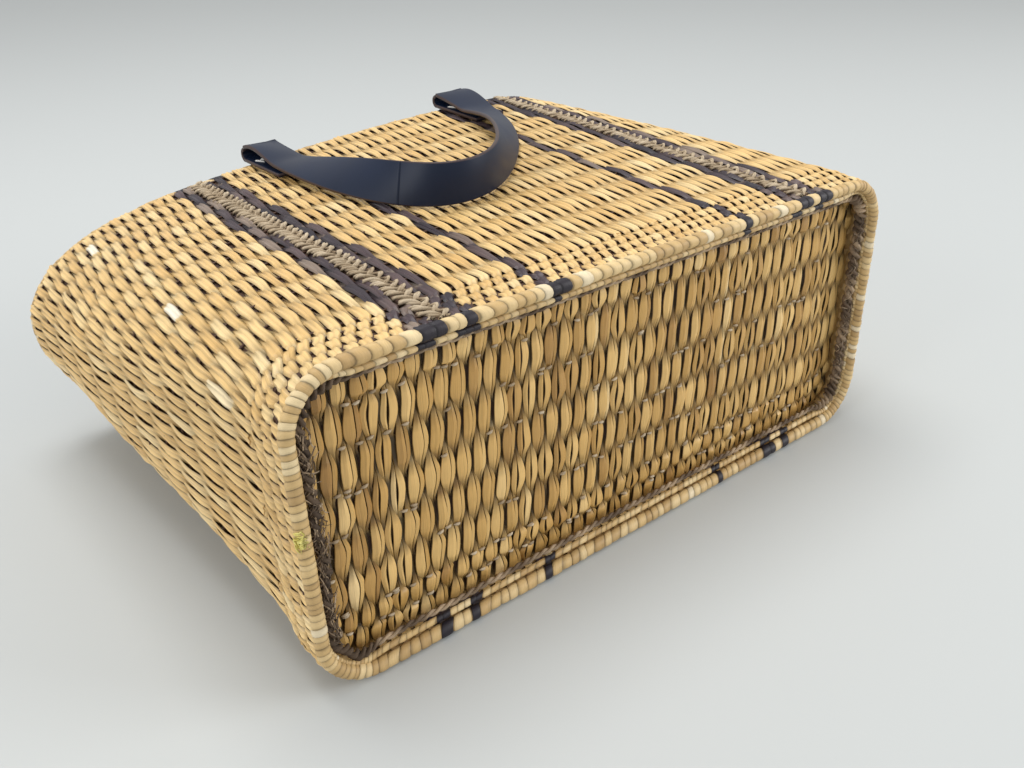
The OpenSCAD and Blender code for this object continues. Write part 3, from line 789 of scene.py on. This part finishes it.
def build_twine_bits():
    """Short ends of the rods' twine that show between the grains of the base."""
    count = 230
    column = rng.integers(2, BASE_COLUMNS - 2, count)
    row = rng.integers(1, BASE_RODS, count)
    x = -BASE_HALF + column * BASE_PITCH + rng.uniform(-0.6, 0.6, count)
    z = base_z(x, BASE_ROWS[row]) + rng.uniform(-1.5, 1.5, count)
    t = circle(6)
    s = np.linspace(-1, 1, 5)
    r = 0.75 * np.sqrt(np.maximum(0.1, 1 - s**4))
    vx = x[:, None, None] + 1.9 * s[:, None] + 0 * t
    vy = BASE_RECESS + 0.5 + 0.5 * s[:, None] ** 2 + r[:, None] * np.cos(t) + 0 * vx
    vz = z[:, None, None] + r[:, None] * np.sin(t) + 0.4 * s[:, None] * rng.uniform(-1, 1, (count, 1, 1))
    bits = grid_object("base_twine_bits", to_frame(vx, vy, vz), {
        "tint": rng.uniform(0.3, 0.9, count)[:, None, None],
        "along": 0.0, "across": np.sin(t), "dip_shade": 0.0,
    }, cap=True)
    dress(bits, TWINE, "bag", "base_straw", "base_panel")


def build_lacing():
    """Two-ply cord round the base panel, thicker and looser at the short ends."""
    turns = 92
    us = np.linspace(0, 2, 900, endpoint=False)
    p, o = (q[0] for q in wall_frame([0.0], us))
    ends = short_ends(p[:, 0])
    right = np.where(p[:, 0] > 0, ends, 0)
    thick = 0.7 + 0.25 * right + ends * (0.55 + 0.3 * wavy(us, 2, 301))
    wander = wavy(us, 2, 121)
    inset = BASE_INSET + 7.4 - 2.4 * ends
    step = circle(6)
    tubes, tints = [], []
    for ply in (0, 1):
        turn = math.pi * turns * us + math.pi * ply
        r = 1.25 * thick
        mid = -inset + (0.5 + 0.9 * ends) * wander + 1.1 * thick * np.cos(turn)
        up = 1.1 * thick * np.sin(turn) - 0.6 * ends
        off = mid[:, None] + r[:, None] * np.cos(step)
        y = BASE_RECESS - 6.4 + up[:, None] + r[:, None] * np.sin(step)
        x, z = off_wall(p[:, None], o[:, None], 0, off)
        tubes.append(to_frame(x, y, z))
        streak = 0.2 * np.sin(turn * 0.37 + 5 * ply)
        tints.append(0.75 - 0.55 * ends + 0.5 * right + streak + 0.2 * wander)
    lace = grid_object("base_lacing_twisted", np.array(tubes), {
        "tint": np.clip(np.array(tints), 0, 1)[..., None], "along": us[None, :, None] * 4000,
        "across": np.sin(step), "dip_shade": 0.0,
    }, wrap_along=True)
    dress(lace, LACING, "bag", "brown_twine", "base_lacing")


def build_frayed_lacing():
    """Loose fibres of the lacing at the short ends of the base."""
    count = 420
    side = np.where(np.arange(count) % 2, 1, -1)
    turn = math.pi / 2 + rng.normal(0, 0.45, count)
    size = rng.uniform(2.0, 6.0, count)
    bend = rng.uniform(-1.5, 1.5, count)
    s = np.linspace(-1, 1, 6)
    r = rng.uniform(0.18, 0.4, count)[:, None, None]
    t = circle(5)
    inset = 11.6 + rng.normal(0, 1.3, count)[:, None] + size[:, None] * s * np.cos(turn)[:, None]
    high = rng.uniform(30, 140, count)[:, None] + size[:, None] * s * np.sin(turn)[:, None]
    inset = np.maximum(inset + bend[:, None] * s**2, WALL_T + 2.5)
    y = BASE_RECESS - 9.3 + rng.normal(0, 0.7, count)[:, None] + 1.8 * s**2
    x = side[:, None, None] * (BASE_W / 2 - inset[..., None] + r * np.cos(t))
    z = high[..., None] + r * np.sin(t)
    fray = grid_object("base_lacing_frayed", to_frame(x, y[..., None] + 0 * x, z), {
        "tint": rng.uniform(0.2, 1, count)[:, None, None], "along": 0.0, "across": 0.0, "dip_shade": 0.0,
    }, cap=True)
    dress(fray, LACING, "bag", "brown_twine", "base_lacing")


# handles

def strap_profile():
    """Section of a strap with softly rounded edges: across, thickness, edge share."""
    w, t, r = STRAP_W / 2, STRAP_T / 2 - 0.05, 0.8
    pts = []
    for sa, st, a0 in ((1, 1, 0), (-1, 1, 90), (-1, -1, 180), (1, -1, 270)):
        for a in (0, 45, 90):
            ang = math.radians(a0 + a)
            pts.append((sa * (w - r) + r * math.cos(ang), st * (t - r) + r * math.sin(ang)))
    pts = np.array(pts)
    edge = (np.abs(pts[:, 0]) > w - 0.3).astype(float)
    return pts, edge


PROFILE, EDGE = strap_profile()


def strap_mesh(name, middles, wides, faces):
    """Straps swept along middles of equal length, with width and face directions, in millimetres."""
    c, wide, face = (np.asarray(q, float)[:, :, None, :] for q in (middles, wides, faces))
    v = c + wide * PROFILE[:, 0, None] + face * PROFILE[:, 1, None]
    v = to_frame(v[..., 0], v[..., 1], v[..., 2], lean=False)
    return grid_object(name, v, {"edge": EDGE}, cap=True)


UPPER_ENDS = (HANDLE_SHIFT - HANDLE_SPAN / 2, HANDLE_SHIFT + HANDLE_SPAN / 2)
UPPER_FOLD_Y = BAG_H + 1 + FOLD_R
FOLD_MID = TAB_GAP + STRAP_T / 2 + FOLD_R
FOLD_ENDS_Z = [upper_z(x, BAG_H) + FOLD_MID for x in UPPER_ENDS]
FOLD_ANGLE = math.atan2(FOLD_ENDS_Z[1] - FOLD_ENDS_Z[0], HANDLE_SPAN)
FOLD_WIDE = np.array([math.cos(FOLD_ANGLE), 0, math.sin(FOLD_ANGLE)])


def fold_z(x):
    """Height of the upper strap's folding line."""
    return mix(FOLD_ENDS_Z[0], FOLD_ENDS_Z[1], (x - UPPER_ENDS[0]) / HANDLE_SPAN)


def tab_z(x, y):
    """Height of the middle of an upper sewn end, which follows the slope of the face."""
    slope = upper_z(x, BAG_H - TAB_L) - upper_z(x, BAG_H)
    return fold_z(x) - FOLD_R + slope * (BAG_H + 1 - y) / TAB_L


# a loop tips the other way by its ends: degrees, and where as a share of its reach
TIP_BACK, TIP_AT = 11.0, 0.12
# a lying strap is never quite flat: the least share of its half width that lifts it
TILT_SHARE = 0.04
# inward bend of the upper loop's right arm: size, and place and run as shares of its way
ARM_BEND, ARM_AT, ARM_RUN = 5.0, 0.72, 0.12


def strap_turn(t):
    """Degrees by which a loop stands on edge: lying at its ends, upright at its middle."""
    s = max(0.0, math.sin(math.pi * t))
    return 90 * s**1.6 - TIP_BACK * s / TIP_AT * math.exp(1 - s / TIP_AT)


def strap_lift(t, gap):
    """Height of a loop's middle over what it lies on."""
    turn = math.radians(strap_turn(t))
    edge = STRAP_W / 2 * math.hypot(math.sin(turn), TILT_SHARE)
    return gap + edge + STRAP_T / 2 * math.cos(turn)


def upper_middle(t):
    """Point on the middle line of the upper loop, at a share of its way."""
    s = max(0.0, math.sin(math.pi * t))
    x = HANDLE_SHIFT - HANDLE_SPAN / 2 * math.cos(math.pi * t) + HANDLE_LEAN * s * s
    x -= ARM_BEND * math.exp(-(((t - ARM_AT) / ARM_RUN) ** 2))
    y = UPPER_FOLD_Y - FOLD_R - HANDLE_REACH * s
    ends = FOLD_MID + FOLD_R - LOOP_GAP - STRAP_T / 2
    ground = fold_z(x) - FOLD_MID if s < 0.001 else upper_z(x, y)
    return np.array([x, y, ground + strap_lift(t, LOOP_GAP) + ends * (1 - s) ** 2.3])


def lower_middle(t):
    """Point on the middle line of the lower loop, at a share of its way."""
    s = max(0.0, math.sin(math.pi * t))
    ends = LOWER_FOLD_Z - GROUND_GAP - STRAP_T / 2
    x = -HANDLE_SPAN / 2 * math.cos(math.pi * t)
    y = LOWER_FOLD_Y + HANDLE_REACH * s
    return np.array([x, y, strap_lift(t, GROUND_GAP) + ends * (1 - s) ** 3])


# share of the loop's way at which one length of the strap laps over the next, and by how much
SEAM, SEAM_STEP = 0.335, 0.35


def loop_frames(middle, backward):
    """Middle line, width and face directions of a loop."""
    c, wide, face = [], [], []
    steps = np.concatenate([np.linspace(0.001, 0.999, 180), [SEAM - 1e-4, SEAM + 1e-4]])
    for t in np.sort(steps):
        along = middle(min(1, t + 0.01)) - middle(max(0, t - 0.01))
        along = -along if backward else along
        along /= np.linalg.norm(along)
        out = np.cross(along, [0, 0, 1])
        out /= np.linalg.norm(out)
        up = np.cross(out, along)
        turn = math.radians(strap_turn(t))
        wide.append(out * math.cos(turn) - up * math.sin(turn))
        face.append(out * math.sin(turn) + up * math.cos(turn))
        c.append(middle(t) + (SEAM_STEP * face[-1] if t < SEAM else 0))
    return c, wide, face


def stitch_mesh(name, centres, wides, faces):
    """Slanting capsules of thread: one row over each strap end."""
    tubes = []
    ring_t = circle(8)
    s = np.linspace(-1, 1, 9)
    r = 0.62 * np.sqrt(np.maximum(0.05, 1 - s**4))
    for c, wd, fc in zip(centres, wides, faces):
        fwd = np.cross(fc, wd)
        for i in range(-2, 3):
            lean = math.radians(25 + rng.uniform(-6, 6))
            d = fwd * math.cos(lean) - wd * math.sin(lean)
            side = np.cross(d, fc)
            mid = c + wd * (i * STRAP_W / 6 + rng.uniform(-0.4, 0.4)) + fc * (STRAP_T / 2 + 0.35)
            path = mid + d * (s * 4.4)[:, None] - fc * (0.5 * s**4)[:, None]
            tubes.append(path[:, None, :] + side * (r[:, None] * np.cos(ring_t))[..., None]
                         + fc * (r[:, None] * np.sin(ring_t))[..., None])
    v = np.array(tubes)
    v = to_frame(v[..., 0], v[..., 1], v[..., 2], lean=False)
    return grid_object(name, v, {
        "tint": 0.6, "along": 0.0, "across": np.sin(ring_t), "dip_shade": 0.0,
    }, cap=True)


# share of a sewn end's length from the mouth to its stitches
STITCH_AT = 0.3


def build_upper_handle():
    """Upper strap: two sewn ends, stitches, loop, and the folds."""
    tab_steps, fold_steps = 14, 25
    c, wd, fc, sc, sw, sf = [], [], [], [], [], []
    fold_c, fold_w, fold_f = [], [], []
    for x in UPPER_ENDS:
        ys = np.linspace(BAG_H - TAB_L, BAG_H + 1, tab_steps)
        c.append([[x, y, tab_z(x, y)] for y in ys])
        slope = (tab_z(x, BAG_H) - tab_z(x, BAG_H - TAB_L)) / TAB_L
        normal = np.cross(FOLD_WIDE, [0, 1, slope])
        normal /= np.linalg.norm(normal)
        wd.append([FOLD_WIDE] * tab_steps)
        fc.append([normal] * tab_steps)
        y = BAG_H - STITCH_AT * TAB_L
        sc.append(np.array([x, y, tab_z(x, y)]))
        sw.append(FOLD_WIDE)
        sf.append(normal)
        turn = np.radians(np.linspace(-90, 90, fold_steps))
        fold_y = UPPER_FOLD_Y - FOLD_R
        fold_c.append([[x, fold_y + FOLD_R * math.cos(t), fold_z(x) + FOLD_R * math.sin(t)]
                       for t in turn])
        fold_w.append([FOLD_WIDE] * fold_steps)
        fold_f.append([[0, -math.cos(t), -math.sin(t)] for t in turn])
    dress(strap_mesh("upper_strap_sewn", c, wd, fc), LEATHER, "bag", "strap", "upper_strap_ends")
    stitches = stitch_mesh("upper_thread", sc, sw, sf)
    dress(stitches, THREAD, "bag", "thread", "upper_stitches")
    loop = strap_mesh("upper_strap_loop", *[[q] for q in loop_frames(upper_middle, False)])
    dress(loop, LEATHER, "upper_handle", "strap", "upper_strap")
    fold = strap_mesh("upper_strap_fold", fold_c, fold_w, fold_f)
    fold.data.materials.append(LEATHER)
    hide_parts("upper_strap")
    y = UPPER_FOLD_Y - MIDDLE_Y
    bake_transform(fold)


def build_lower_handle():
    """Lower strap: two sewn ends, stitches, loop, and the bends."""
    steps = 10
    across, up = np.array([1.0, 0, 0]), np.array([0, 0, 1.0])
    tabs, folds, stitched = [], [], []
    for x in (-HANDLE_SPAN / 2, HANDLE_SPAN / 2):
        ys = np.linspace(BAG_H - TAB_L, LOWER_FOLD_Y - 4, steps)
        tabs.append([[x, y, LOWER_FOLD_Z] for y in ys])
        ys = np.linspace(LOWER_FOLD_Y - 4, LOWER_FOLD_Y + 1.5, steps)
        folds.append([[x, y, LOWER_FOLD_Z] for y in ys])
        stitched.append(np.array([x, BAG_H - STITCH_AT * TAB_L, LOWER_FOLD_Z]))
    wides, faces = [[across] * steps] * 2, [[up] * steps] * 2
    sewn = strap_mesh("lower_strap_sewn", tabs, wides, faces)
    dress(sewn, LEATHER, "bag", "strap", "lower_strap_ends")
    stitches = stitch_mesh("lower_thread", stitched, [across] * 2, [-up] * 2)
    dress(stitches, THREAD, "bag", "thread", "lower_stitches")
    loop = strap_mesh("lower_strap_loop", *[[q] for q in loop_frames(lower_middle, True)])
    dress(loop, LEATHER, "lower_handle", "strap", "lower_strap")
    fold = strap_mesh("lower_strap_fold", folds, wides, faces)
    fold.data.materials.append(LEATHER)
    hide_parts("lower_strap")
    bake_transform(fold)


# stage

# camera fitted to the photograph: place in millimetres, angles in degrees, focal length in pixels
CAMERA_AT = (-307.351, -272.047, 338.029)
CAMERA_AZ, CAMERA_EL, CAMERA_F = -38.152, 30.797, 912.48
PHOTO_W, SENSOR_W = 1024, 36.0
FLOOR_HALF, FLOOR_COLOUR = 9.0, (0.505, 0.525, 0.521)
SKY_STRENGTH = 0.74
# soft lamps: name, place, size and power
LAMPS = (
    ("key", (-0.1, 0.25, 1.7), 0.9, 16.5),
    ("left", (-2.4, 0.0, 0.9), 1.4, 19.0),
    ("right", (1.9, -1.6, 1.0), 1.2, 33.0),
)
LAMP_AIM = (0.0, -0.05, 0.1)


def plain_material(name, colour):
    """Matt material of one colour."""
    mat = bpy.data.materials.new(name)
    mat.use_nodes = True
    shader = mat.node_tree.nodes["Principled BSDF"]
    shader.inputs["Base Color"].default_value = (*colour, 1)
    shader.inputs["Roughness"].default_value = 0.95
    shader.inputs["Specular IOR Level"].default_value = 0.1
    return mat


def looking(at, forward):
    """Matrix of a lamp or camera at a place, looking along a direction."""
    return Matrix.Translation(at) @ forward.to_track_quat("-Z", "Y").to_matrix().to_4x4()


def build_stage():
    """Plain pale floor, even sky and three soft lamps."""
    h = FLOOR_HALF
    mesh = bpy.data.meshes.new("floor")
    mesh.from_pydata([(-h, -h, 0), (h, -h, 0), (h, h, 0), (-h, h, 0)], [], [(0, 1, 2, 3)])
    floor = bpy.data.objects.new("floor", mesh)
    bpy.context.scene.collection.objects.link(floor)
    floor.data.materials.append(plain_material("floor", FLOOR_COLOUR))
    world = bpy.data.worlds.new("studio")
    bpy.context.scene.world = world
    world.use_nodes = True
    sky = world.node_tree.nodes["Background"]
    sky.inputs["Color"].default_value = (1, 1, 1, 1)
    sky.inputs["Strength"].default_value = SKY_STRENGTH
    for name, at, size, power in LAMPS:
        lamp = bpy.data.lights.new(name, "AREA")
        lamp.energy = power
        lamp.size = size
        obj = bpy.data.objects.new(name, lamp)
        bpy.context.scene.collection.objects.link(obj)
        obj.matrix_world = looking(at, Vector(LAMP_AIM) - Vector(at))


def build_camera():
    """Camera of the photograph."""
    data = bpy.data.cameras.new("camera")
    data.sensor_fit = "HORIZONTAL"
    data.sensor_width = SENSOR_W
    data.lens = CAMERA_F * SENSOR_W / PHOTO_W
    data.clip_start = 0.01
    cam = bpy.data.objects.new("camera", data)
    bpy.context.scene.collection.objects.link(cam)
    az, el = math.radians(CAMERA_AZ), math.radians(CAMERA_EL)
    forward = Vector((-math.sin(az) * math.cos(el), math.cos(az) * math.cos(el), -math.sin(el)))
    at = Vector((CAMERA_AT[0], CAMERA_AT[1] - MIDDLE_Y, CAMERA_AT[2])) / 1000
    cam.matrix_world = looking(at, forward)
    bpy.context.scene.camera = cam


build_wall()
build_rods()
build_cords()
build_rims()
build_tuft()
build_base()
build_base_middle()
build_twine_bits()
build_lacing()
build_frayed_lacing()
build_upper_handle()
build_lower_handle()
build_stage()
build_camera()
bpy.context.scene.view_settings.view_transform = "Standard"
